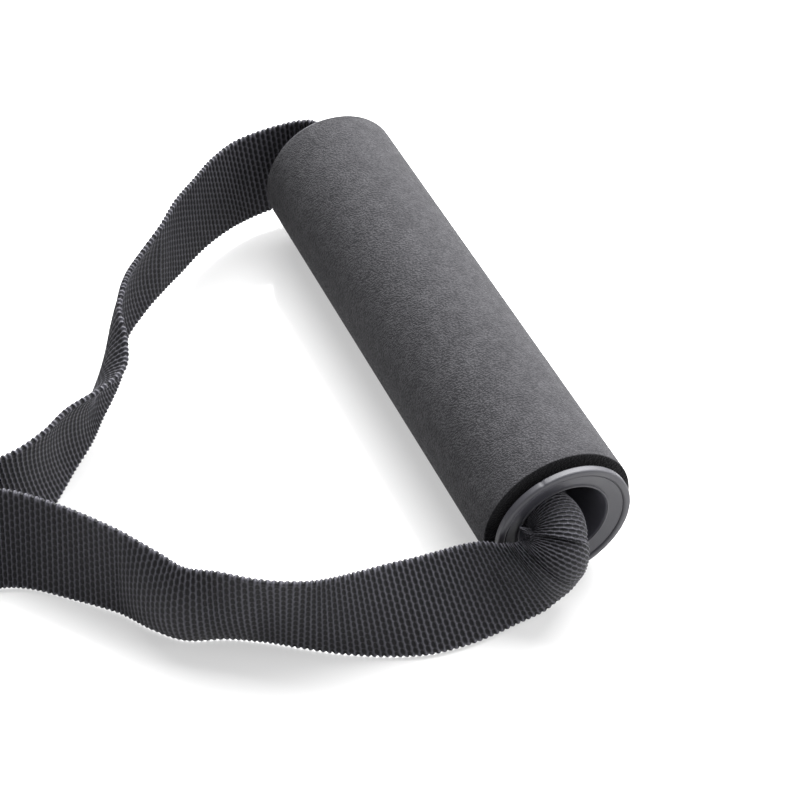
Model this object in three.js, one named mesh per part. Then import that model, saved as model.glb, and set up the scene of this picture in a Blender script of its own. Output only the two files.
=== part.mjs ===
// Hand grip of an exercise band: a foam-covered tube with a flanged cap in each end, threaded
// on one length of webbing whose two ends are sewn together round the bar of a welded D-ring.
// Units are millimetres. +X runs along the grip, +Z is up, and the loop lies towards -Y.
import * as THREE from 'three';

// Grip, measured from its own axis
const GRIP_RADIUS = 19;
const GRIP_HALF = 70.2;
const FOAM_BORE = 14.5;
const FOAM_EDGE = 1.2;
const TUBE_RADIUS = 14.2;
const TUBE_BORE = 12.9;
const TUBE_HALF = 70.2;

// Flanged end caps
const CAP_BORE = 11.4;
const SPIGOT_RADIUS = 12.6;
const SPIGOT_LENGTH = 15;
const FLANGE_RADIUS = 17.4;
const FLANGE_THICK = 2;
const RIM_ROUND = 0.8;
const DISH_OUTER = 16;
const DISH_INNER = 13.2;
const DISH_DEPTH = 0.5;
const NEAR_FLANGE_BACK = 72.1;
const FAR_FLANGE_BACK = 70.5;

// Webbing
const WEB_WIDTH = 25;
const WEB_THICK = 1.5;
const WEB_ACROSS = 7;
const WEB_STEPS = 2;

// D-ring and the sewn end of the webbing
const WIRE_RADIUS = 2;
const RING_HALF_WIDTH = 15.2;
const RING_LEG = 7;
const RING_CORNER = 2.6;
const BAR_Y = -184;
const BAR_Z = 4;
const TAB_X = 8.5;
const LAYER_Z = [0.8, 2.6, 4.4];
const WRAP_GAP = 0.45;
const WRAP_RADIUS = WIRE_RADIUS + WRAP_GAP + WEB_THICK / 2;

// Box stitch
const STITCH_Z = 5.5;
const STITCH_THICK = 0.5;
const STITCH_WIDE = 20;
const STITCH_LONG = 16;
const STITCH_LINE = 1;
const STITCH_Y = -166;

const ROUND_STEPS = 48;

const foamMaterial = new THREE.MeshStandardMaterial({ color: 0x4b4b4d, roughness: 0.95, metalness: 0 });
const plasticMaterial = new THREE.MeshStandardMaterial({ color: 0x2b2b2e, roughness: 0.4, metalness: 0 });
const tubeMaterial = new THREE.MeshStandardMaterial({ color: 0x1c1c1e, roughness: 0.5, metalness: 0 });
const webMaterial = new THREE.MeshStandardMaterial({ color: 0x333336, roughness: 0.8, metalness: 0 });
const steelMaterial = new THREE.MeshStandardMaterial({ color: 0xb9bbbf, roughness: 0.25, metalness: 1 });
const threadMaterial = new THREE.MeshStandardMaterial({ color: 0x242426, roughness: 0.7, metalness: 0 });

// The webbing's route, from its end on top of the sewn tab to its end inside the tab. Each stop
// has the selvedge that lies on the floor along both arms, a point that the opposite selvedge
// faces, and how far the webbing is curled: 0 is flat across its width.
const LEFT = TAB_X - WEB_WIDTH / 2;
const RIGHT = TAB_X + WEB_WIDTH / 2;
const flatStop = (y, z) => [[RIGHT, y, z], [LEFT, y, z], 0];

const TOP_LAYER = [
  flatStop(-156, LAYER_Z[2]),
  flatStop(-162, LAYER_Z[2]),
  flatStop(-169, LAYER_Z[2]),
  flatStop(-175, LAYER_Z[2] + 0.1),
  flatStop(-180, LAYER_Z[2] + 1.6),
];

const BOTTOM_LAYER = [
  flatStop(-178, LAYER_Z[0]),
  flatStop(-172, LAYER_Z[0]),
  flatStop(-165, LAYER_Z[0]),
  flatStop(-158, LAYER_Z[0]),
];

const FAR_ARM = [
  [[20.8, -149, 1], [-4.2, -149, 1.7], 0],
  [[20, -140, 1], [-3, -141, 8.5], 0],
  [[19.5, -131, 0.9], [2.5, -134, 16.5], 0],
  [[15, -120, 0.6], [5.5, -124, 21.5], 0],
  [[7.5, -109.5, 0.5], [5, -112.5, 21.5], 0.02],
  [[0.5, -102.5, 0.5], [1, -103.5, 22], 0.03],
  [[-6.5, -96.5, 0.5], [-4.5, -96, 22.5], 0.04],
  [[-14, -89.5, 0.9], [-8.5, -86.5, 23], 0.04],
  [[-20.5, -84.5, 1.3], [-14.5, -77.5, 24], 0.09],
  [[-26.5, -79.5, 1.9], [-23, -74.5, 25], 0.07],
  [[-32, -75.5, 2.5], [-31.5, -73.5, 26], 0.025],
  [[-38.5, -72.5, 3], [-38, -70.5, 25.5], 0.01],
  [[-45.5, -69, 3.4], [-43.5, -67, 25.5], 0.02],
  [[-52, -62.5, 3.7], [-49, -61.5, 26.5], 0.03],
  [[-58.5, -55, 3.9], [-56, -54, 27.5], 0],
  [[-64.5, -47, 3.9], [-64.5, -46.5, 27.5], 0],
  [[-71, -38.5, 3.9], [-71, -39, 27.5], 0],
  [[-76, -29, 3.9], [-77.5, -31.5, 28], 0],
  [[-78.5, -21, 3.8], [-83, -23, 29.5], 0],
  [[-79.5, -13, 4.1], [-84.5, -15, 31], 0],
  [[-80, -7, 5], [-83, -8, 31], 0],
  [[-79.5, -1.5, 7], [-79.5, -2.5, 31], 0.03],
  [[-78, 1.8, 8.3], [-78, -0.5, 29.7], 0.12],
];

const THROUGH_GRIP = [
  [[-74, 3, 9.5], [-74, -1, 28.5], 0.22],
  [[-66, 4, 10], [-66, -2.5, 28.2], 0.23],
  [[-50, 5.5, 11], [-50, -4, 27.6], 0.24],
  [[-28, 7, 12.5], [-28, -5.8, 26.6], 0.24],
  [[-4, 7.8, 13.5], [-4, -7, 25.6], 0.24],
  [[20, 8, 14.5], [20, -7.8, 24.6], 0.25],
  [[42, 6.5, 13], [42, -8.5, 22], 0.29],
  [[58, 3.5, 12], [58, -9, 19.5], 0.42],
  [[68, 1.5, 13], [68, -9.5, 19.5], 0.54],
];

const NEAR_ARM = [
  [[75, -0.8, 17.6], [75, -9.5, 23.3], 0.6],
  [[78.2, 0, 15.4], [76.5, -11.8, 23.6], 0.48],
  [[80.5, 1.3, 11.8], [77, -12.2, 23.3], 0.3],
  [[80.7, 0.5, 8], [76.8, -13.5, 23.3], 0.18],
  [[81, -1.5, 5], [76.5, -15, 23], 0.11],
  [[80.8, -4.8, 2.2], [76, -16.5, 23.5], 0.05],
  [[81.3, -8.5, 0.6], [75, -18.5, 24], 0.02],
  [[82.3, -15, 0.5], [72.5, -22.5, 25.5], 0],
  [[83.3, -22, 0.5], [70.5, -27.5, 25.5], 0],
  [[83.6, -30, 0.5], [70, -33.5, 25.5], 0],
  [[82.5, -39, 0.5], [70.5, -41, 25], 0],
  [[79, -48, 0.5], [72.5, -49.5, 23.5], 0],
  [[74, -57, 0.5], [72.5, -57.5, 23], 0],
  [[68.5, -65, 0.5], [70.5, -64.5, 23], 0],
  [[63.5, -72, 0.5], [66, -73, 23], 0],
  [[59, -79.5, 0.5], [59.5, -80.5, 23], 0.03],
  [[55.5, -88.5, 0.5], [54.5, -87, 23], 0.06],
  [[49.5, -94.5, 0.5], [48, -91, 24], 0.04],
  [[42, -100, 0.5], [39, -97.5, 24], 0],
  [[33.5, -109, 0.5], [28, -105.5, 23], 0],
  [[26.5, -117, 0.5], [19.5, -113, 22], 0],
  [[23.4, -124, 0.8], [12.5, -120, 21], 0],
  [[23.2, -131, 1.2], [6, -128, 19.5], 0],
  [[22.4, -140, 2.7], [-1, -138.5, 14], 0],
  [[21.4, -148, 2.9], [-3.6, -148, 4.5], 0],
  flatStop(-155, LAYER_Z[1]),
  flatStop(-162, LAYER_Z[1]),
  flatStop(-170, LAYER_Z[1]),
  flatStop(-177, LAYER_Z[1]),
];

function wrapRoundBar() {
  const stops = [];
  for (let degrees = 110; degrees <= 270; degrees += 32) {
    const angle = THREE.MathUtils.degToRad(degrees);
    stops.push(flatStop(BAR_Y + WRAP_RADIUS * Math.cos(angle), BAR_Z + WRAP_RADIUS * Math.sin(angle)));
  }
  return stops;
}

// Half the angle of the arc whose chord is the given fraction of its length
function halfAngle(chordRatio) {
  let low = 0;
  let high = Math.PI;
  for (let i = 0; i < 40; i += 1) {
    const middle = (low + high) / 2;
    if (Math.sin(middle) / middle > chordRatio) low = middle;
    else high = middle;
  }
  return low;
}

// Webbing: rows of points across a curled section, swept along the stops
function webbing(stops) {
  const floorEdge = new THREE.CatmullRomCurve3(
    stops.map((stop) => new THREE.Vector3(...stop[0])), false, 'catmullrom', 0.5);
  const aimEdge = new THREE.CatmullRomCurve3(
    stops.map((stop) => new THREE.Vector3(...stop[1])), false, 'catmullrom', 0.5);
  const curls = new THREE.CatmullRomCurve3(
    stops.map((stop) => new THREE.Vector3(stop[2], 0, 0)), false, 'catmullrom', 0.5);
  const steps = (stops.length - 1) * WEB_STEPS;
  const at = (i) => {
    const t = THREE.MathUtils.clamp(i / steps, 0, 1);
    const edge = floorEdge.getPoint(t);
    const across = aimEdge.getPoint(t).sub(edge).normalize();
    const curl = Math.max(curls.getPoint(t).x, 0);
    const chord = WEB_WIDTH * (1 - curl);
    return { edge, across, curl, chord, middle: edge.clone().addScaledVector(across, chord / 2) };
  };
  const rows = [];
  for (let i = 0; i <= steps; i += 1) {
    const here = at(i);
    const travel = at(i + 1).middle.sub(at(i - 1).middle).normalize();
    const outward = new THREE.Vector3().crossVectors(here.across, travel).normalize();
    const row = { outer: [], inner: [] };
    const half = Math.max(halfAngle(1 - here.curl), 1e-3);
    const radius = WEB_WIDTH / 2 / half;
    for (let j = 0; j < WEB_ACROSS; j += 1) {
      const angle = half * (2 * j / (WEB_ACROSS - 1) - 1);
      const ray = outward.clone().multiplyScalar(Math.cos(angle)).addScaledVector(here.across, Math.sin(angle));
      const centre = here.middle.clone().addScaledVector(outward, -radius * Math.cos(half));
      row.outer.push(centre.clone().addScaledVector(ray, radius + WEB_THICK / 2));
      row.inner.push(centre.clone().addScaledVector(ray, radius - WEB_THICK / 2));
    }
    rows.push([...row.outer, ...row.inner.reverse()]);
  }
  return sweptSolid(rows, false);
}

// Closed solid over rows of section points, each row a loop; the two ends are filled, or joined
function sweptSolid(rows, joined) {
  const count = rows[0].length;
  const positions = rows.flat().flatMap((point) => [point.x, point.y, point.z]);
  const index = [];
  const spans = joined ? rows.length : rows.length - 1;
  for (let i = 0; i < spans; i += 1) {
    const next = ((i + 1) % rows.length) * count;
    for (let j = 0; j < count; j += 1) {
      const k = (j + 1) % count;
      index.push(i * count + j, i * count + k, next + j);
      index.push(i * count + k, next + k, next + j);
    }
  }
  if (!joined) {
    const last = (rows.length - 1) * count;
    for (let j = 0; j < count / 2 - 1; j += 1) {
      const a = j;
      const b = j + 1;
      const c = count - 1 - j;
      const d = count - 2 - j;
      index.push(a, c, b, b, c, d);
      index.push(last + a, last + b, last + c, last + b, last + d, last + c);
    }
  }
  const geometry = new THREE.BufferGeometry();
  geometry.setAttribute('position', new THREE.Float32BufferAttribute(positions, 3));
  geometry.setIndex(index);
  geometry.computeVertexNormals();
  return geometry;
}

// Solid of revolution about the grip's axis, from [radius, distance along the axis] points
function turned(outline) {
  const points = [...outline, outline[0]].map(([radius, along]) => new THREE.Vector2(radius, along));
  return new THREE.LatheGeometry(points, ROUND_STEPS).rotateZ(-Math.PI / 2);
}

function foamGrip() {
  return turned([
    [FOAM_BORE, -GRIP_HALF],
    [GRIP_RADIUS - FOAM_EDGE, -GRIP_HALF],
    [GRIP_RADIUS, -GRIP_HALF + FOAM_EDGE],
    [GRIP_RADIUS, GRIP_HALF - FOAM_EDGE],
    [GRIP_RADIUS - FOAM_EDGE, GRIP_HALF],
    [FOAM_BORE, GRIP_HALF],
  ]);
}

function coreTube() {
  return turned([
    [TUBE_BORE, -TUBE_HALF],
    [TUBE_RADIUS, -TUBE_HALF],
    [TUBE_RADIUS, TUBE_HALF],
    [TUBE_BORE, TUBE_HALF],
  ]);
}

// End cap with its flange's back face at the origin and its nose towards +X
function endCap() {
  const face = FLANGE_THICK - DISH_DEPTH;
  return turned([
    [CAP_BORE, -SPIGOT_LENGTH],
    [SPIGOT_RADIUS - RIM_ROUND, -SPIGOT_LENGTH],
    [SPIGOT_RADIUS, -SPIGOT_LENGTH + RIM_ROUND],
    [SPIGOT_RADIUS, 0],
    [FLANGE_RADIUS - RIM_ROUND / 2, 0],
    [FLANGE_RADIUS, RIM_ROUND / 2],
    [FLANGE_RADIUS, FLANGE_THICK - RIM_ROUND],
    [FLANGE_RADIUS - RIM_ROUND, FLANGE_THICK],
    [DISH_OUTER, FLANGE_THICK],
    [DISH_OUTER - DISH_DEPTH, face],
    [DISH_INNER, face],
    [DISH_INNER - DISH_DEPTH, face - DISH_DEPTH / 2],
    [CAP_BORE, face - 2 * DISH_DEPTH],
  ]);
}

// Centreline of the ring in its own plane: its bar on the X axis, its nose at -Y
function ringCentreline() {
  const points = [];
  const corner = (cx, cy, from, to) => {
    for (let degrees = from; degrees <= to; degrees += 15) {
      const angle = THREE.MathUtils.degToRad(degrees);
      points.push([cx + RING_CORNER * Math.cos(angle), cy + RING_CORNER * Math.sin(angle)]);
    }
  };
  corner(RING_HALF_WIDTH - RING_CORNER, -RING_CORNER, 0, 90);
  corner(-RING_HALF_WIDTH + RING_CORNER, -RING_CORNER, 90, 180);
  for (let degrees = 180; degrees <= 360; degrees += 12) {
    const angle = THREE.MathUtils.degToRad(degrees);
    points.push([RING_HALF_WIDTH * Math.cos(angle), -RING_LEG + RING_HALF_WIDTH * Math.sin(angle)]);
  }
  return points;
}

function dRing() {
  const line = ringCentreline();
  const rows = line.map(([x, y], i) => {
    const before = line[(i + line.length - 1) % line.length];
    const after = line[(i + 1) % line.length];
    const side = new THREE.Vector3(before[1] - after[1], after[0] - before[0], 0).normalize();
    const row = [];
    for (let degrees = 15; degrees < 375; degrees += 30) {
      const angle = THREE.MathUtils.degToRad(degrees);
      const point = new THREE.Vector3(x, y, WIRE_RADIUS * Math.sin(angle));
      row.push(point.addScaledVector(side, WIRE_RADIUS * Math.cos(angle)));
    }
    return row;
  });
  return sweptSolid(rows, true);
}

// Stitched outline on top of the tab: a square with both of its diagonals
function boxStitch() {
  const wide = STITCH_WIDE / 2;
  const long = STITCH_LONG / 2;
  const gap = STITCH_LINE * 0.9;
  const outline = new THREE.Shape();
  outline.moveTo(-wide, -long).lineTo(wide, -long).lineTo(wide, long).lineTo(-wide, long).closePath();
  const quarters = [[1, 0], [0, 1], [-1, 0], [0, -1]];
  for (const [u, v] of quarters) {
    const hole = new THREE.Path();
    const far = 1 - STITCH_LINE / wide;
    hole.moveTo(u * gap, v * gap);
    hole.lineTo((u - v) * wide * far + v * gap * 0.75, (v + u) * long * far - u * gap * 0.75);
    hole.lineTo((u + v) * wide * far - v * gap * 0.75, (v - u) * long * far + u * gap * 0.75);
    hole.closePath();
    outline.holes.push(hole);
  }
  return new THREE.ExtrudeGeometry(outline, { depth: STITCH_THICK, bevelEnabled: false });
}

function piece(name, geometry, material) {
  const mesh = new THREE.Mesh(geometry, material);
  mesh.name = name;
  return mesh;
}

function grip() {
  const group = new THREE.Group();
  const nearCap = piece('near_end_cap', endCap(), plasticMaterial);
  const farCap = piece('far_end_cap', endCap(), plasticMaterial);
  nearCap.position.x = NEAR_FLANGE_BACK;
  farCap.position.x = -FAR_FLANGE_BACK;
  farCap.rotation.z = Math.PI;
  group.add(piece('foam_grip', foamGrip(), foamMaterial));
  group.add(piece('core_tube', coreTube(), tubeMaterial));
  group.add(nearCap, farCap);
  group.position.z = GRIP_RADIUS;
  return group;
}

function ring() {
  const mesh = piece('d_ring', dRing(), steelMaterial);
  mesh.position.set(TAB_X, BAR_Y, BAR_Z);
  mesh.rotation.x = Math.asin((BAR_Z - WIRE_RADIUS) / (RING_LEG + RING_HALF_WIDTH));
  return mesh;
}

const part = new THREE.Group();
const route = [...TOP_LAYER, ...wrapRoundBar(), ...BOTTOM_LAYER, ...FAR_ARM, ...THROUGH_GRIP, ...NEAR_ARM];
const stitch = piece('box_stitch', boxStitch(), threadMaterial);
stitch.position.set(TAB_X, STITCH_Y, STITCH_Z);
part.add(grip(), piece('webbing_strap', webbing(route), webMaterial), stitch, ring());

// The origin is on the floor, under the middle of the footprint
const footprint = new THREE.Box3().setFromObject(part, true);
const middle = footprint.getCenter(new THREE.Vector3());
part.position.set(-middle.x, -middle.y, -footprint.min.z);

export default part;
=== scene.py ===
"""Exercise-band hand grip: a foam-covered tube threaded on a loop of ribbed webbing.

Everything is in metres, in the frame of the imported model. The grip's own frame, in which the
webbing's route is given, has its origin on the floor under the middle of the grip, with +X
along the grip and +Z up.
"""
import math

import bpy
import numpy as np
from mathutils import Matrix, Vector


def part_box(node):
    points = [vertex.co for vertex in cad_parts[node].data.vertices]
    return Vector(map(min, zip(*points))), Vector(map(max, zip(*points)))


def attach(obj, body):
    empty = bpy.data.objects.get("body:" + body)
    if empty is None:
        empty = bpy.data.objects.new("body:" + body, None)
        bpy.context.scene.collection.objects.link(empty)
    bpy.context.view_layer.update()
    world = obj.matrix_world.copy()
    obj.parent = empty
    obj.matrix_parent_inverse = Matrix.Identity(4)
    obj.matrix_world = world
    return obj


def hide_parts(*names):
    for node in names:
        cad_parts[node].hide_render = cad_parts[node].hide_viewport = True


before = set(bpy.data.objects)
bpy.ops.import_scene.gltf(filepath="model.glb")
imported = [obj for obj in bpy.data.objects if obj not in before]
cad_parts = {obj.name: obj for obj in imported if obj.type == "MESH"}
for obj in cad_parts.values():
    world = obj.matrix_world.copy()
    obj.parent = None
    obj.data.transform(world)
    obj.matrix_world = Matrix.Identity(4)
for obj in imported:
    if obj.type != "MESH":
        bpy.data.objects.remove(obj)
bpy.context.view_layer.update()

FOAM_LOW, FOAM_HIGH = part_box("foam_grip")
TUBE_LOW, TUBE_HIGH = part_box("core_tube")
GRIP_RADIUS = (FOAM_HIGH.z - FOAM_LOW.z) / 2
GRIP_HALF = (FOAM_HIGH.x - FOAM_LOW.x) / 2
GRIP_CENTRE = (FOAM_LOW + FOAM_HIGH) / 2
ORIGIN = GRIP_CENTRE - Vector((0, 0, GRIP_RADIUS))

# Camera
CAMERA_PLACE = ORIGIN + Vector((0.3711, -0.1720, 0.3949))
CAMERA_FORWARD = Vector((-0.654, 0.286, -0.700))
CAMERA_LENS = 97.5

# Light: each panel's place, side and power. The floor glows a little, to stay white.
WORLD_STRENGTH = 0.4
BACK_PANEL = ((-1.25, 0.95, 1.6), 2.6, 220)
SIDE_PANEL = ((0.5, 1.6, 0.9), 1.2, 24)
FLOOR_HALF = 3.0
FLOOR_GLOW = 0.45

# Grip and end caps
FOAM_BORE = 0.0145
FOAM_EDGE = 0.0004
FOAM_STEP = 0.003
CAP_BORE = 0.0114
SPIGOT_RADIUS = 0.0126
SPIGOT_LENGTH = 0.015
FLANGE_RADIUS = 0.0174
FLANGE_THICK = 0.002
RIM_WIDTH = 0.0017
RIM_GROOVE = 0.0006
FACE_OUTER_DEPTH = 0.0004
FACE_INNER_DEPTH = 0.0012
LIP_WIDTH = 0.0006
LIP_DEPTH = 0.0008
MOUTH_DEPTH = 0.0013
TUBE_RADIUS = 0.0142
TUBE_BORE = 0.0129
TUBE_EDGE = 0.0002
ROUND_STEPS = 240
GATE_ANGLE = math.radians(111)
GATE_SPREAD = math.radians(1.1)
GATE_DENT = 0.0002
GATE_REACH = 0.0012

# Webbing. TURN_ sets the ribs closer round the near turn, and EAR_ makes the knob there.
WEB_WIDTH = 0.025
WEB_THICK = 0.0015
RIB_PITCH = 0.0015
RIB_HEIGHT = 0.00012
BEAD_HEIGHT = 0.00022
HOLLOW_DEPTH = 0.00022
STEPS_PER_RIB = 4
SAMPLES_PER_STOP = 40
SAMPLES_ACROSS = 9
WARP_ENDS = 25
HOLLOW_LONG = 0.42
HOLLOW_WIDE = 1.25
TURN_CROWD = 0.45
TURN_SPREAD = 2.4
EAR_STOP = 1.0
EAR_SPREAD = 0.55
EAR_RISE = 0.003
EAR_SWELL = 3.2
EAR_START = 0.82
EAR_WAY = (0.0, -0.1, 0.99)

# D-ring, sewn tab and thread
WIRE_RADIUS = 0.002
WIRE_SIDES = 28
RING_HALF_WIDTH = 0.0152
RING_LEG = 0.007
RING_CORNER = 0.0026
BAR_Y = -0.184
BAR_Z = 0.004
TAB_X = 0.0085
LAYER_Z = (0.0008, 0.0026, 0.0044)
WRAP_GAP = 0.00045
WRAP_RADIUS = WIRE_RADIUS + WRAP_GAP + WEB_THICK / 2
STITCH_PITCH = 0.0027
STITCH_GAP = 0.04
STITCH_RINGS = 9
STITCH_SIDES = 8
THREAD_RADIUS = 0.00024

# The seams' level and rise, on top of the tab and under it
TOP_SEAM = (LAYER_Z[2] + WEB_THICK / 2 - 0.0001, 0.00022)
UNDER_SEAM = (THREAD_RADIUS * 1.6, -0.0001)

LEFT = TAB_X - WEB_WIDTH / 2
RIGHT = TAB_X + WEB_WIDTH / 2


def flat_stop(y, z):
    return (RIGHT, y, z), (LEFT, y, z), 0


# The webbing's route in the grip's frame: the selvedge that is the lower one along both arms,
# a point that the opposite selvedge faces, and how far the webbing is curled across its width.
TOP_LAYER = [
    flat_stop(-0.156, LAYER_Z[2]),
    flat_stop(-0.162, LAYER_Z[2]),
    flat_stop(-0.169, LAYER_Z[2]),
    flat_stop(-0.175, LAYER_Z[2] + 0.0001),
    flat_stop(-0.180, LAYER_Z[2] + 0.0016),
]

BOTTOM_LAYER = [
    flat_stop(-0.178, LAYER_Z[0]),
    flat_stop(-0.172, LAYER_Z[0]),
    flat_stop(-0.165, LAYER_Z[0]),
    flat_stop(-0.158, LAYER_Z[0]),
]

FAR_ARM = [
    ((0.0208, -0.149, 0.001), (-0.0042, -0.149, 0.0017), 0),
    ((0.02, -0.14, 0.001), (-0.003, -0.141, 0.0085), 0),
    ((0.0195, -0.131, 0.0009), (0.0025, -0.134, 0.0165), 0),
    ((0.015, -0.12, 0.0006), (0.0055, -0.124, 0.0215), 0),
    ((0.0075, -0.1095, 0.0005), (0.005, -0.1125, 0.0215), 0.02),
    ((0.0005, -0.1025, 0.0005), (0.001, -0.1035, 0.022), 0.03),
    ((-0.0065, -0.0965, 0.0005), (-0.0045, -0.096, 0.0225), 0.04),
    ((-0.014, -0.0895, 0.0009), (-0.0085, -0.0865, 0.023), 0.04),
    ((-0.0205, -0.0845, 0.0013), (-0.0145, -0.0775, 0.024), 0.09),
    ((-0.0265, -0.0795, 0.0019), (-0.023, -0.0745, 0.025), 0.07),
    ((-0.032, -0.0755, 0.0025), (-0.0315, -0.0735, 0.026), 0.025),
    ((-0.0385, -0.0725, 0.003), (-0.038, -0.0705, 0.0255), 0.01),
    ((-0.0455, -0.069, 0.0034), (-0.0435, -0.067, 0.0255), 0.02),
    ((-0.052, -0.0625, 0.0037), (-0.049, -0.0615, 0.0265), 0.03),
    ((-0.0585, -0.055, 0.0039), (-0.056, -0.054, 0.0275), 0),
    ((-0.0645, -0.047, 0.0039), (-0.0645, -0.0465, 0.0275), 0),
    ((-0.071, -0.0385, 0.0039), (-0.071, -0.039, 0.0275), 0),
    ((-0.076, -0.029, 0.0039), (-0.0775, -0.0315, 0.028), 0),
    ((-0.0785, -0.021, 0.0038), (-0.083, -0.023, 0.0295), 0),
    ((-0.0795, -0.013, 0.0041), (-0.0845, -0.015, 0.031), 0),
    ((-0.08, -0.007, 0.005), (-0.083, -0.008, 0.031), 0),
    ((-0.0795, -0.0015, 0.007), (-0.0795, -0.0025, 0.031), 0.03),
    ((-0.078, 0.0018, 0.0083), (-0.078, -0.0005, 0.0297), 0.12),
]

THROUGH_GRIP = [
    ((-0.074, 0.003, 0.0095), (-0.074, -0.001, 0.0285), 0.22),
    ((-0.066, 0.004, 0.01), (-0.066, -0.0025, 0.0282), 0.23),
    ((-0.05, 0.0055, 0.011), (-0.05, -0.004, 0.0276), 0.24),
    ((-0.028, 0.007, 0.0125), (-0.028, -0.0058, 0.0266), 0.24),
    ((-0.004, 0.0078, 0.0135), (-0.004, -0.007, 0.0256), 0.24),
    ((0.02, 0.008, 0.0145), (0.02, -0.0078, 0.0246), 0.25),
    ((0.042, 0.0065, 0.013), (0.042, -0.0085, 0.022), 0.29),
    ((0.058, 0.0035, 0.012), (0.058, -0.009, 0.0195), 0.42),
    ((0.068, 0.0015, 0.013), (0.068, -0.0095, 0.0195), 0.54),
]

NEAR_ARM = [
    ((0.075, -0.0008, 0.0176), (0.075, -0.0095, 0.0233), 0.6),
    ((0.0782, 0, 0.0154), (0.0765, -0.0118, 0.0236), 0.48),
    ((0.0805, 0.0013, 0.0118), (0.077, -0.0122, 0.0233), 0.3),
    ((0.0807, 0.0005, 0.008), (0.0768, -0.0135, 0.0233), 0.18),
    ((0.081, -0.0015, 0.005), (0.0765, -0.015, 0.023), 0.11),
    ((0.0808, -0.0048, 0.0022), (0.076, -0.0165, 0.0235), 0.05),
    ((0.0813, -0.0085, 0.0006), (0.075, -0.0185, 0.024), 0.02),
    ((0.0823, -0.015, 0.0005), (0.0725, -0.0225, 0.0255), 0),
    ((0.0833, -0.022, 0.0005), (0.0705, -0.0275, 0.0255), 0),
    ((0.0836, -0.03, 0.0005), (0.07, -0.0335, 0.0255), 0),
    ((0.0825, -0.039, 0.0005), (0.0705, -0.041, 0.025), 0),
    ((0.079, -0.048, 0.0005), (0.0725, -0.0495, 0.0235), 0),
    ((0.074, -0.057, 0.0005), (0.0725, -0.0575, 0.023), 0),
    ((0.0685, -0.065, 0.0005), (0.0705, -0.0645, 0.023), 0),
    ((0.0635, -0.072, 0.0005), (0.066, -0.073, 0.023), 0),
    ((0.059, -0.0795, 0.0005), (0.0595, -0.0805, 0.023), 0.03),
    ((0.0555, -0.0885, 0.0005), (0.0545, -0.087, 0.023), 0.06),
    ((0.0495, -0.0945, 0.0005), (0.048, -0.091, 0.024), 0.04),
    ((0.042, -0.1, 0.0005), (0.039, -0.0975, 0.024), 0),
    ((0.0335, -0.109, 0.0005), (0.028, -0.1055, 0.023), 0),
    ((0.0265, -0.117, 0.0005), (0.0195, -0.113, 0.022), 0),
    ((0.0234, -0.124, 0.0008), (0.0125, -0.12, 0.021), 0),
    ((0.0232, -0.131, 0.0012), (0.006, -0.128, 0.0195), 0),
    ((0.0224, -0.14, 0.0027), (-0.001, -0.1385, 0.014), 0),
    ((0.0214, -0.148, 0.0029), (-0.0036, -0.148, 0.0045), 0),
    flat_stop(-0.155, LAYER_Z[1]),
    flat_stop(-0.162, LAYER_Z[1]),
    flat_stop(-0.17, LAYER_Z[1]),
    flat_stop(-0.177, LAYER_Z[1]),
]


def wrap_round_bar():
    stops = []
    for degrees in range(110, 271, 32):
        angle = math.radians(degrees)
        y = BAR_Y + WRAP_RADIUS * math.cos(angle)
        stops.append(flat_stop(y, BAR_Z + WRAP_RADIUS * math.sin(angle)))
    return stops


# ---------------------------------------------------------------- camera, floor and light


def make_camera():
    camera = bpy.data.objects.new("camera", bpy.data.cameras.new("camera"))
    bpy.context.scene.collection.objects.link(camera)
    camera.data.lens = CAMERA_LENS
    camera.location = CAMERA_PLACE
    camera.rotation_mode = "QUATERNION"
    camera.rotation_quaternion = CAMERA_FORWARD.to_track_quat("-Z", "Y")
    bpy.context.scene.camera = camera


def make_floor():
    corners = [(x * FLOOR_HALF, y * FLOOR_HALF, 0) for x, y in ((-1, -1), (1, -1), (1, 1), (-1, 1))]
    mesh = bpy.data.meshes.new("floor")
    mesh.from_pydata(corners, [], [(0, 1, 2, 3)])
    floor = bpy.data.objects.new("floor", mesh)
    bpy.context.scene.collection.objects.link(floor)
    floor.data.materials.append(floor_material())


def area_light(name, place, size, power):
    """A square panel that faces the middle of the part."""
    light = bpy.data.lights.new(name, "AREA")
    light.shape = "SQUARE"
    light.size = size
    light.energy = power
    lamp = bpy.data.objects.new(name, light)
    bpy.context.scene.collection.objects.link(lamp)
    lamp.location = place
    lamp.rotation_mode = "QUATERNION"
    lamp.rotation_quaternion = (-Vector(place)).to_track_quat("-Z", "Y")


def make_lights():
    world = bpy.data.worlds.new("studio")
    bpy.context.scene.world = world
    world.use_nodes = True
    background = world.node_tree.nodes["Background"]
    background.inputs["Color"].default_value = (1, 1, 1, 1)
    background.inputs["Strength"].default_value = WORLD_STRENGTH
    bpy.context.scene.view_settings.view_transform = "Standard"
    area_light("back_panel", *BACK_PANEL)
    area_light("side_panel", *SIDE_PANEL)


# ---------------------------------------------------------------- material nodes


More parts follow.
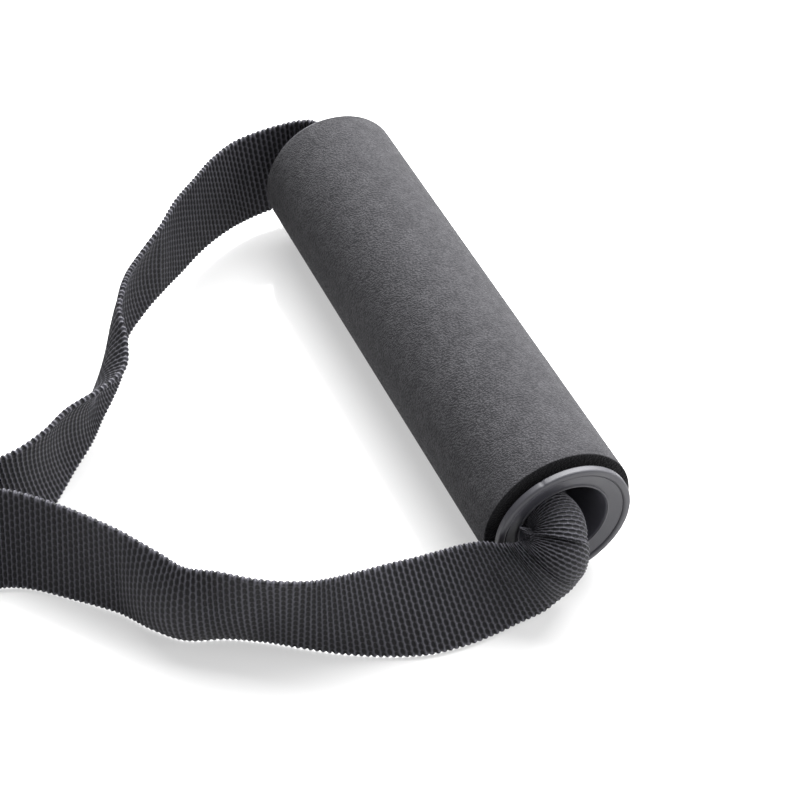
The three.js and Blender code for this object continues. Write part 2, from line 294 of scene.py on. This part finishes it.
class Shader:
    """A material under construction: short calls that add and join its nodes."""

    def __init__(self, name):
        self.material = bpy.data.materials.new(name)
        self.material.use_nodes = True
        self.tree = self.material.node_tree
        self.surface = self.tree.nodes["Principled BSDF"]

    def node(self, kind, settings=None, **inputs):
        made = self.tree.nodes.new(kind)
        for key, value in (settings or {}).items():
            setattr(made, key, value)
        for key, value in inputs.items():
            self.feed(made.inputs[key.replace("_", " ")], value)
        return made

    def feed(self, socket, value):
        if isinstance(value, bpy.types.NodeSocket):
            self.tree.links.new(value, socket)
        else:
            socket.default_value = value

    def math(self, operation, a, b=0.0):
        made = self.tree.nodes.new("ShaderNodeMath")
        made.operation = operation
        for socket, value in zip(made.inputs, (a, b)):
            self.feed(socket, value)
        return made.outputs[0]

    def noise(self, place, scale, detail=2.0, roughness=0.5):
        made = self.node("ShaderNodeTexNoise", Scale=scale, Detail=detail, Roughness=roughness)
        self.feed(made.inputs["Vector"], place)
        return made.outputs["Fac"]

    def remap(self, value, low, high, to_low=0.0, to_high=1.0):
        made = self.tree.nodes.new("ShaderNodeMapRange")
        for socket, number in zip(made.inputs, (value, low, high, to_low, to_high)):
            self.feed(socket, number)
        return made.outputs[0]

    def mix_colour(self, factor, a, b):
        made = self.tree.nodes.new("ShaderNodeMix")
        made.data_type = "RGBA"
        self.feed(made.inputs["Factor"], factor)
        self.feed(made.inputs[6], a)
        self.feed(made.inputs[7], b)
        return made.outputs[2]

    def place(self):
        return self.node("ShaderNodeTexCoord").outputs["Object"]

    def bump(self, height, strength, distance):
        made = self.node("ShaderNodeBump", Strength=strength, Distance=distance, Height=height)
        return made.outputs["Normal"]

    def set(self, **inputs):
        for key, value in inputs.items():
            self.feed(self.surface.inputs[key.replace("_", " ")], value)
        return self.material


def grey(level, blue=1.0):
    """A grey whose blue is the given multiple of its red; a bluish one has a little less green."""
    return (level, level * (0.985 if blue > 1 else 1), level * blue, 1)


# Tones and finishes
# The foam's third tone is painted shade, for its end faces in the gap behind the caps' flanges.
FOAM_DARK, FOAM_LIGHT, FOAM_END_SHADE = grey(0.012, 1.2), grey(0.068, 1.07), grey(0.008, 1.2)
# The webbing's dark tone is painted shade for the hollows of its weave.
WEB_HOLLOW_SHADE, WEB_LIGHT = grey(0.005, 1.35), grey(0.112, 1.17)
THREAD_DARK, THREAD_LIGHT = grey(0.012, 1.1), grey(0.06, 1.05)
STEEL_DARK, STEEL_LIGHT = grey(0.36, 1.01), grey(0.46, 0.99)
# The bore wall's grey is painted light, lifting the shaded wall of the caps' narrow bore.
BORE_WALL_PAINTED_LIGHT = grey(0.12, 1.2)
CAP_LEVEL, CAP_ROUGHNESS = 0.026, 0.52
TUBE_LEVEL, TUBE_ROUGHNESS = 0.03, 0.5


def floor_material():
    shader = Shader("floor_white")
    place = shader.place()
    rough = shader.remap(shader.noise(place, 3.0), 0.3, 0.7, 0.10, 0.14)
    shader.set(Emission_Color=grey(1.0), Emission_Strength=FLOOR_GLOW)
    return shader.set(Base_Color=grey(0.5), Roughness=rough, Specular_IOR_Level=0.5)


def foam_material():
    """Pebbled skin with fine dark creases on the round; the end faces are painted dark, as painted shade
    in the gap behind the caps' flanges.
    """
    shader = Shader("foam_skin")
    place = shader.place()
    drift = shader.node("ShaderNodeTexNoise", Scale=700.0, Detail=2.0, Vector=place).outputs["Color"]
    shift = shader.node("ShaderNodeVectorMath", {"operation": "SCALE"}, Vector=drift, Scale=0.0009)
    bent = shader.tree.nodes.new("ShaderNodeVectorMath")
    shader.feed(bent.inputs[0], place)
    shader.feed(bent.inputs[1], shift.outputs[0])
    stretch = shader.node("ShaderNodeMapping", Vector=bent.outputs[0], Scale=(1.3, 0.9, 0.9))
    cells = shader.node("ShaderNodeTexVoronoi", {"feature": "F1"}, Vector=stretch.outputs[0],
                        Scale=1900.0)
    pebble = shader.remap(cells.outputs["Distance"], 0.15, 0.75, 1.0, 0.0)
    grain = shader.noise(place, 2600.0, 2.0, 0.6)
    cloud = shader.noise(place, 60.0, 3.0, 0.5)
    patch = shader.remap(shader.noise(place, 330.0, 2.0, 0.5), 0.35, 0.65, 0.75, 1.15)
    tone = shader.math("ADD", shader.math("MULTIPLY", pebble, 0.62), shader.math("MULTIPLY", grain, 0.5))
    tone = shader.math("MULTIPLY", shader.math("ADD", tone, shader.math("MULTIPLY", cloud, 0.2)), patch)
    skin = shader.mix_colour(tone, FOAM_DARK, FOAM_LIGHT)
    along = shader.node("ShaderNodeSeparateXYZ", Vector=place).outputs["X"]
    from_middle = shader.math("ABSOLUTE", shader.math("SUBTRACT", along, GRIP_CENTRE.x))
    # Painted shade: the last bit of the sleeve's length and its end faces are darkened, for the gap
    # behind the caps' flanges.
    end_shade = shader.remap(from_middle, GRIP_HALF - FOAM_EDGE, GRIP_HALF - 0.0001)
    colour = shader.mix_colour(end_shade, skin, FOAM_END_SHADE)
    normal = shader.bump(shader.math("ADD", pebble, shader.math("MULTIPLY", grain, 0.4)), 0.5, 0.0004)
    shader.set(Sheen_Weight=0.04, Sheen_Roughness=0.5, Specular_IOR_Level=0.2)
    return shader.set(Base_Color=colour, Roughness=0.9, Normal=normal)


def plastic_material(name, level, roughness):
    """Satin black moulding. Only the wall of the caps' bore, which is the narrowest, is painted lighter:
    painted light inside the shaded bore.
    """
    shader = Shader(name)
    place = shader.place()
    grain = shader.noise(place, 2600.0, 2.0)
    mottle = shader.noise(place, 160.0, 3.0)
    colour = shader.mix_colour(mottle, grey(level, 1.3), grey(level * 1.5, 1.3))
    centred = shader.node("ShaderNodeVectorMath", {"operation": "SUBTRACT"}, Vector=place)
    centred.inputs[1].default_value = GRIP_CENTRE
    across = shader.node("ShaderNodeVectorMath", {"operation": "MULTIPLY"})
    shader.feed(across.inputs[0], centred.outputs[0])
    across.inputs[1].default_value = (0, 1, 1)
    radius = shader.node("ShaderNodeVectorMath", {"operation": "LENGTH"}, Vector=across.outputs[0])
    # Painted light: the wall of the caps' bore gets a lighter grey, standing in for light reaching into
    # it.
    bore = shader.remap(radius.outputs["Value"], CAP_BORE + 0.0002, CAP_BORE + 0.0001)
    colour = shader.mix_colour(bore, colour, BORE_WALL_PAINTED_LIGHT)
    rough = shader.remap(mottle, 0.3, 0.7, roughness - 0.04, roughness + 0.06)
    normal = shader.bump(grain, 0.12, 0.0001)
    return shader.set(Base_Color=colour, Roughness=rough, Normal=normal, Specular_IOR_Level=0.85)


def webbing_material():
    """A light wavy network of yarn round hollows darkened with painted shade, staggered from each groove
    to the next.
    """
    shader = Shader("webbing_weave")
    uv = shader.node("ShaderNodeUVMap", {"uv_map": "weave"}).outputs["UV"]
    parts = shader.node("ShaderNodeSeparateXYZ", Vector=uv)
    rib, warp = parts.outputs["X"], parts.outputs["Y"]
    groove = shader.math("FLOOR", rib)
    from_groove = shader.math("SUBTRACT", shader.math("SUBTRACT", rib, groove), 0.5)
    odd = shader.math("FLOORED_MODULO", groove, 2.0)
    from_hollow = shader.math("PINGPONG", shader.math("ADD", warp, odd), 1.0)
    along = shader.math("POWER", shader.math("DIVIDE", from_groove, HOLLOW_LONG), 2.0)
    aside = shader.math("POWER", shader.math("DIVIDE", from_hollow, HOLLOW_WIDE), 2.0)
    reach = shader.math("SQRT", shader.math("ADD", along, aside))
    yarn = shader.remap(reach, 0.65, 1.2)
    beads = shader.math("COSINE", shader.math("MULTIPLY", warp, 4 * math.pi))
    fibre = shader.noise(shader.place(), 2600.0, 2.0, 0.6)
    fuzz = shader.noise(shader.place(), 260.0, 2.0, 0.5)
    tone = shader.math("MULTIPLY", yarn, shader.remap(beads, -1.0, 1.0, 0.72, 1.0))
    tone = shader.math("MULTIPLY", tone, shader.remap(fibre, 0.3, 0.7, 0.6, 1.25))
    tone = shader.math("MULTIPLY", tone, shader.remap(fuzz, 0.3, 0.7, 0.85, 1.1))
    # Painted highlight: the selvedges are made a little lighter, as if they caught more light.
    selvedge = shader.math("ABSOLUTE", shader.math("SUBTRACT", warp, WARP_ENDS / 2))
    selvedge = shader.remap(selvedge, WARP_ENDS / 2 - 0.7, WARP_ENDS / 2 - 0.2)
    tone = shader.math("ADD", tone, shader.math("MULTIPLY", selvedge, 0.08))
    # Painted shade: where the tone falls in the hollows, the colour goes to the near-black hollow tone.
    colour = shader.mix_colour(tone, WEB_HOLLOW_SHADE, WEB_LIGHT)
    relief = shader.math("ADD", shader.math("MULTIPLY", yarn, 0.8), shader.math("MULTIPLY", fibre, 0.12))
    normal = shader.bump(relief, 0.7, 0.0006)
    shader.set(Specular_IOR_Level=0.3)
    return shader.set(Base_Color=colour, Roughness=0.6, Normal=normal)


def thread_material():
    shader = Shader("sewing_thread")
    uv = shader.node("ShaderNodeUVMap", {"uv_map": "weave"}).outputs["UV"]
    parts = shader.node("ShaderNodeSeparateXYZ", Vector=uv)
    twist = shader.math("ADD", parts.outputs["X"], parts.outputs["Y"])
    ply = shader.math("ABSOLUTE", shader.math("SINE", shader.math("MULTIPLY", twist, math.pi)))
    colour = shader.mix_colour(ply, THREAD_DARK, THREAD_LIGHT)
    normal = shader.bump(ply, 0.6, 0.0001)
    return shader.set(Base_Color=colour, Roughness=0.5, Normal=normal)


def steel_material():
    shader = Shader("plated_steel")
    place = shader.place()
    streak = shader.noise(place, 900.0, 3.0, 0.6)
    haze = shader.noise(place, 120.0, 2.0, 0.5)
    colour = shader.mix_colour(haze, STEEL_DARK, STEEL_LIGHT)
    rough = shader.remap(haze, 0.3, 0.7, 0.24, 0.38)
    normal = shader.bump(streak, 0.06, 0.0001)
    return shader.set(Base_Color=colour, Metallic=1.0, Roughness=rough, Normal=normal)


# ---------------------------------------------------------------- mesh helpers


def link_mesh(name, points, faces, material, uvs=None):
    """A smooth-shaded object from a point array and faces, with an optional UV per point."""
    mesh = bpy.data.meshes.new(name)
    mesh.from_pydata(points.tolist(), [], faces)
    if uvs is not None:
        layer = mesh.uv_layers.new(name="weave")
        corners = np.zeros(len(mesh.loops), np.int32)
        mesh.loops.foreach_get("vertex_index", corners)
        layer.data.foreach_set("uv", uvs[corners].astype(np.float32).ravel())
    mesh.shade_smooth()
    mesh.materials.append(material)
    made = bpy.data.objects.new(name, mesh)
    bpy.context.scene.collection.objects.link(made)
    return made


def grid_faces(rows, columns, join_rows, join_columns):
    faces = []
    for i in range(rows if join_rows else rows - 1):
        for j in range(columns if join_columns else columns - 1):
            a, b = i * columns + j, i * columns + (j + 1) % columns
            c, d = ((i + 1) % rows) * columns + (j + 1) % columns, ((i + 1) % rows) * columns + j
            faces.append((a, b, c, d))
    return faces


def rounded(corners, steps=5):
    """A closed outline from (radius, along, rounding) corners, with each corner made an arc."""
    outline = []
    places = [np.array(corner[:2], float) for corner in corners]
    for i, corner in enumerate(corners):
        here = places[i]
        back = places[i - 1] - here
        ahead = places[(i + 1) % len(corners)] - here
        start = here + back / np.linalg.norm(back) * corner[2]
        end = here + ahead / np.linalg.norm(ahead) * corner[2]
        for k in range(steps + 1):
            t = k / steps
            outline.append((1 - t) ** 2 * start + 2 * t * (1 - t) * here + t ** 2 * end)
    return np.array(outline)


def turned(name, outline, origin, direction, material, dent=0.0):
    """Revolves a closed outline of (radius, along) about the line along X through origin."""
    angles = np.arange(ROUND_STEPS) * 2 * math.pi / ROUND_STEPS
    near_gate = np.exp(-((angles - GATE_ANGLE) / GATE_SPREAD) ** 2)
    on_rim = outline[:, 0] > FLANGE_RADIUS - GATE_REACH
    radius = outline[:, 0] - dent * near_gate[:, None] * on_rim
    points = np.empty((ROUND_STEPS, len(outline), 3))
    points[..., 0] = origin.x + direction * outline[:, 1]
    points[..., 1] = origin.y + np.cos(angles)[:, None] * radius
    points[..., 2] = origin.z + direction * np.sin(angles)[:, None] * radius
    faces = grid_faces(ROUND_STEPS, len(outline), True, True)
    return link_mesh(name, points.reshape(-1, 3), faces, material)


# ---------------------------------------------------------------- the grip


def subdivided(outline, longest):
    """The outline with extra points, so that no side is longer than given."""
    finer = []
    for here, ahead in zip(outline, np.roll(outline, -1, axis=0)):
        count = max(1, math.ceil(np.linalg.norm(ahead - here) / longest))
        finer.extend(here + (ahead - here) * k / count for k in range(count))
    return np.array(finer)


def make_foam():
    outline = rounded([
        (FOAM_BORE, -GRIP_HALF, FOAM_EDGE),
        (FOAM_BORE, GRIP_HALF, FOAM_EDGE),
        (GRIP_RADIUS, GRIP_HALF, FOAM_EDGE),
        (GRIP_RADIUS, -GRIP_HALF, FOAM_EDGE),
    ])
    foam = turned("foam_sleeve", subdivided(outline, FOAM_STEP), GRIP_CENTRE, 1, foam_material())
    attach(foam, "grip")
    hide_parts("foam_grip")


def make_core_tube():
    half = (TUBE_HIGH.x - TUBE_LOW.x) / 2
    outline = rounded([
        (TUBE_BORE, -half, TUBE_EDGE),
        (TUBE_BORE, half, TUBE_EDGE),
        (TUBE_RADIUS, half, TUBE_EDGE),
        (TUBE_RADIUS, -half, TUBE_EDGE),
    ])
    plastic = plastic_material("tube_black", TUBE_LEVEL, TUBE_ROUGHNESS)
    tube = turned("inner_tube", outline, GRIP_CENTRE, 1, plastic)
    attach(tube, "grip")
    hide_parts("core_tube")


def cap_outline():
    """Spigot, flange with a rounded rim, a shallow dished face and a small lip round the bore."""
    face = FLANGE_THICK
    return rounded([
        (CAP_BORE, -SPIGOT_LENGTH, 0.0003),
        (CAP_BORE, face - MOUTH_DEPTH, 0.0002),
        (CAP_BORE + LIP_WIDTH / 2, face - LIP_DEPTH, 0.0002),
        (CAP_BORE + LIP_WIDTH, face - LIP_DEPTH - 0.0001, 0.0001),
        (CAP_BORE + LIP_WIDTH + 0.0001, face - FACE_INNER_DEPTH, 0.0001),
        (FLANGE_RADIUS - RIM_WIDTH - 0.0003, face - FACE_OUTER_DEPTH, 0.0002),
        (FLANGE_RADIUS - RIM_WIDTH - 0.0002, face - RIM_GROOVE, 0.0001),
        (FLANGE_RADIUS - RIM_WIDTH, face, 0.0007),
        (FLANGE_RADIUS, face - 0.0001, 0.0006),
        (FLANGE_RADIUS, 0, 0.0004),
        (SPIGOT_RADIUS, 0, 0.0002),
        (SPIGOT_RADIUS, -SPIGOT_LENGTH, 0.0006),
    ], 8)


def make_end_cap(name, node, direction, material):
    low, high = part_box(node)
    nose = high.x if direction > 0 else low.x
    back = Vector((nose - direction * FLANGE_THICK, GRIP_CENTRE.y, GRIP_CENTRE.z))
    cap = turned(name, cap_outline(), back, direction, material, GATE_DENT)
    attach(cap, "grip")
    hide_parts(node)


# ---------------------------------------------------------------- the webbing


def catmull_rom(stops, places):
    """Smooth values at places counted in stops, from one row of numbers per stop."""
    ends = np.vstack([2 * stops[0] - stops[1], stops, 2 * stops[-1] - stops[-2]])
    index = np.clip(places.astype(int), 0, len(stops) - 2)
    w = (places - index)[:, None]
    p0, p1, p2, p3 = (ends[index + k] for k in range(4))
    start, end = (p2 - p0) / 2, (p3 - p1) / 2
    square = 3 * (p2 - p1) - 2 * start - end
    cube = 2 * (p1 - p2) + start + end
    return p1 + start * w + square * w ** 2 + cube * w ** 3


def half_angles(chord_ratio):
    """Half the angle of the arc whose chord is each given fraction of its length."""
    low, high = np.full_like(chord_ratio, 1e-3), np.full_like(chord_ratio, math.pi)
    for _ in range(40):
        middle = (low + high) / 2
        wide = np.sin(middle) / middle > chord_ratio
        low, high = np.where(wide, middle, low), np.where(wide, high, middle)
    return (low + high) / 2


def unit(vectors):
    return vectors / np.linalg.norm(vectors, axis=-1, keepdims=True)


def ribbon_frame(stops, places):
    """Middle of the webbing, its two directions, and its curl's half angle at each place."""
    edge = catmull_rom(np.array([stop[0] for stop in stops], float), places)
    aim = catmull_rom(np.array([stop[1] for stop in stops], float), places)
    curl = np.clip(catmull_rom(np.array([[stop[2]] for stop in stops], float), places)[:, 0], 0, None)
    across = unit(aim - edge)
    middle = edge + across * (WEB_WIDTH * (1 - curl) / 2)[:, None]
    outward = unit(np.cross(across, np.gradient(middle, axis=0)))
    return middle, across, outward, half_angles(1 - curl)


def surface_point(ribbon, v, lift):
    """Points at v, from -1 to 1 across the width, and lift off the middle of the cloth."""
    middle, across, outward, half = ribbon
    radius = WEB_WIDTH / 2 / half
    centre = middle - outward * (radius * np.cos(half))[:, None]
    angle = half * v
    ray = outward * np.cos(angle)[:, None] + across * np.sin(angle)[:, None]
    return centre + ray * (radius + lift)[:, None]


def even_places(stops, step):
    """Places along the route, one step apart where the width runs farthest, closer at the turn."""
    dense = np.linspace(0, len(stops) - 1, SAMPLES_PER_STOP * len(stops))
    ribbon = ribbon_frame(stops, dense)
    lines = [surface_point(ribbon, v, 0.0) for v in np.linspace(-1, 1, SAMPLES_ACROSS)]
    runs = np.max([np.linalg.norm(np.diff(line, axis=0), axis=1) for line in lines], axis=0)
    from_turn = dense[1:] - (len(stops) - len(NEAR_ARM) + EAR_STOP)
    runs *= 1 + TURN_CROWD * np.exp(-(from_turn / TURN_SPREAD) ** 2)
    along = np.concatenate([[0], np.cumsum(runs)])
    count = round(along[-1] / step)
    return np.interp(np.linspace(0, along[-1], count + 1), along, dense)


def webbing_section(ribs):
    """The closed outline of the webbing at every row: (v, lift, uv across) for each column."""
    rise = np.cos(2 * math.pi * ribs)
    edge = 1 - WEB_THICK / WEB_WIDTH
    ends = np.arange(WARP_ENDS + 1)
    faces = [(2 * end / WARP_ENDS - 1, face_lift(ribs, end, rise), end) for end in ends]
    columns = [(np.full_like(ribs, edge * v), lift, end) for v, lift, end in faces]
    columns += selvedge_bead(1, rise, edge)
    columns += [(np.full_like(ribs, edge * v), -lift, end) for v, lift, end in faces[::-1]]
    columns += selvedge_bead(-1, rise, edge)
    return columns


def face_lift(ribs, end, rise):
    """Height of one face: ribs across the webbing, with a hollow at every other warp end."""
    groove = np.floor(ribs)
    at_hollow = (groove + end) % 2 == 0
    hollow = at_hollow * (1 - np.cos(2 * math.pi * (ribs - groove))) / 2
    return WEB_THICK / 2 - RIB_HEIGHT * (1 - rise) - HOLLOW_DEPTH * hollow


def selvedge_bead(side, rise, edge):
    """The rounded selvedge, drawn in between one rib and the next."""
    round_rib = np.sqrt((1 + rise) / 2)
    columns = []
    for degrees in (55, 0, -55):
        turn = math.radians(degrees * side)
        reach = (1 - edge) * math.cos(turn) + BEAD_HEIGHT * (2 * round_rib - 1) / (WEB_WIDTH / 2)
        lift = (WEB_THICK / 2 + RIB_HEIGHT * rise) * math.sin(turn)
        columns.append((side * (edge + reach), lift, WARP_ENDS * (1 + side) / 2))
    return columns


def ear_share(places, stop_count, v):
    """How far each place belongs to the knob on the bunched inner selvedge at the near turn."""
    middle = stop_count - len(NEAR_ARM) + EAR_STOP
    swell = np.exp(-((places - middle) / EAR_SPREAD) ** 2)
    return swell * np.clip((v - EAR_START) / (1 - EAR_START), 0, 1)


def make_webbing():
    stops = TOP_LAYER + wrap_round_bar() + BOTTOM_LAYER + FAR_ARM + THROUGH_GRIP + NEAR_ARM
    places = even_places(stops, RIB_PITCH / STEPS_PER_RIB)
    ribbon = ribbon_frame(stops, places)
    ribs = np.arange(len(places)) / STEPS_PER_RIB
    section = webbing_section(ribs)
    lines = []
    for v, lift, across in section:
        share = ear_share(places, len(stops), v)
        line = surface_point(ribbon, v, lift * (1 + EAR_SWELL * share))
        lines.append(line + share[:, None] * EAR_RISE * np.array(EAR_WAY))
    points = np.stack(lines, 1)
    uvs = np.stack([np.stack([ribs, np.full_like(ribs, across)], 1) for v, lift, across in section], 1)
    rows, count = points.shape[:2]
    faces = grid_faces(rows, count, False, True)
    faces.append(tuple(range(count - 1, -1, -1)))
    faces.append(tuple((rows - 1) * count + j for j in range(count)))
    strap = link_mesh("webbing", points.reshape(-1, 3) + np.array(ORIGIN), faces,
                      webbing_material(), uvs.reshape(-1, 2))
    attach(strap, "strap")
    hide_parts("webbing_strap")


# ---------------------------------------------------------------- ring and thread


def ring_line():
    """The ring's centreline in its own plane, with its bar on the X axis and its nose at -Y."""
    points = []
    for side, start in ((1, 0), (-1, 90)):
        for degrees in range(start, start + 91, 10):
            angle = math.radians(degrees)
            points.append((side * (RING_HALF_WIDTH - RING_CORNER) + RING_CORNER * math.cos(angle),
                           -RING_CORNER + RING_CORNER * math.sin(angle)))
    for degrees in range(180, 361, 4):
        angle = math.radians(degrees)
        points.append((RING_HALF_WIDTH * math.cos(angle), -RING_LEG + RING_HALF_WIDTH * math.sin(angle)))
    return np.array(points)


def make_ring():
    line = ring_line()
    ahead, back = np.roll(line, -1, axis=0), np.roll(line, 1, axis=0)
    side = unit(np.stack([ahead[:, 1] - back[:, 1], back[:, 0] - ahead[:, 0]], 1))
    turns = np.arange(WIRE_SIDES) * 2 * math.pi / WIRE_SIDES
    flat = line[:, None] + side[:, None] * (WIRE_RADIUS * np.cos(turns))[None, :, None]
    lift = np.broadcast_to(WIRE_RADIUS * np.sin(turns), flat.shape[:2])
    tilt = math.asin((BAR_Z - WIRE_RADIUS) / (RING_LEG + RING_HALF_WIDTH))
    y = flat[..., 1] * math.cos(tilt) - lift * math.sin(tilt)
    z = flat[..., 1] * math.sin(tilt) + lift * math.cos(tilt)
    points = np.stack([flat[..., 0] + TAB_X, y + BAR_Y, z + BAR_Z], -1).reshape(-1, 3) + np.array(ORIGIN)
    ring = link_mesh("ring", points, grid_faces(len(line), len(turns), True, True), steel_material())
    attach(ring, "ring")
    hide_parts("d_ring")


def one_stitch(start, end, depth):
    """Points of one stitch: a short thread that rises out of the cloth and dips back into it."""
    along = unit(end - start)
    sideways = np.cross(along, (0, 0, 1))
    t = np.linspace(0, 1, STITCH_RINGS)
    arch = np.sin(math.pi * t)
    spine = start + (end - start) * t[:, None] + np.array((0, 0, depth)) * (arch ** 0.5)[:, None]
    girth = THREAD_RADIUS * (0.35 + 0.65 * arch ** 0.4)
    turns = np.arange(STITCH_SIDES) * 2 * math.pi / STITCH_SIDES
    points = (spine[:, None] + sideways * (np.cos(turns)[None, :] * girth[:, None])[..., None]
              + np.array((0, 0, 1)) * (np.sin(turns)[None, :] * girth[:, None])[..., None])
    uvs = np.stack(np.broadcast_arrays(t[:, None] * 5, np.arange(STITCH_SIDES)[None] / 4), -1)
    faces = grid_faces(STITCH_RINGS, STITCH_SIDES, False, True)
    last = (STITCH_RINGS - 1) * STITCH_SIDES
    faces.append(tuple(range(STITCH_SIDES - 1, -1, -1)))
    faces.append(tuple(range(last, last + STITCH_SIDES)))
    return points.reshape(-1, 3), uvs.reshape(-1, 2), faces


def stitch_row(start, end):
    """Stitch ends, two by two, along a seam."""
    start, end = np.array(start), np.array(end)
    count = max(1, round(float(np.linalg.norm(end - start)) / STITCH_PITCH))
    for k in range(count):
        first = start + (end - start) * (k + STITCH_GAP) / count
        yield first, start + (end - start) * (k + 1 - STITCH_GAP) / count


def make_stitching():
    low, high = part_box("box_stitch")
    inset = THREAD_RADIUS * 2
    left, right = low.x - ORIGIN.x + inset, high.x - ORIGIN.x - inset
    front, rear = low.y - ORIGIN.y + inset, high.y - ORIGIN.y - inset
    corners = [(left, front), (right, front), (right, rear), (left, rear)]
    seams = list(zip(corners, corners[1:] + corners[:1]))
    seams += [(corners[0], corners[2]), (corners[1], corners[3])]
    points, uvs, faces = [], [], []
    total = 0
    for level, rise in (TOP_SEAM, UNDER_SEAM):
        for a, b in seams:
            for start, end in stitch_row((*a, level), (*b, level)):
                some, uv, sides = one_stitch(start, end, rise)
                faces.extend(tuple(total + k for k in side) for side in sides)
                points.append(some)
                uvs.append(uv)
                total += len(some)
    points = np.concatenate(points) + np.array(ORIGIN)
    thread = link_mesh("thread", points, faces, thread_material(), np.concatenate(uvs))
    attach(thread, "strap")
    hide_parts("box_stitch")


make_camera()
make_floor()
make_lights()
make_foam()
make_core_tube()
cap_plastic = plastic_material("cap_black", CAP_LEVEL, CAP_ROUGHNESS)
make_end_cap("near_cap", "near_end_cap", 1, cap_plastic)
make_end_cap("far_cap", "far_end_cap", -1, cap_plastic)
make_webbing()
make_ring()
make_stitching()
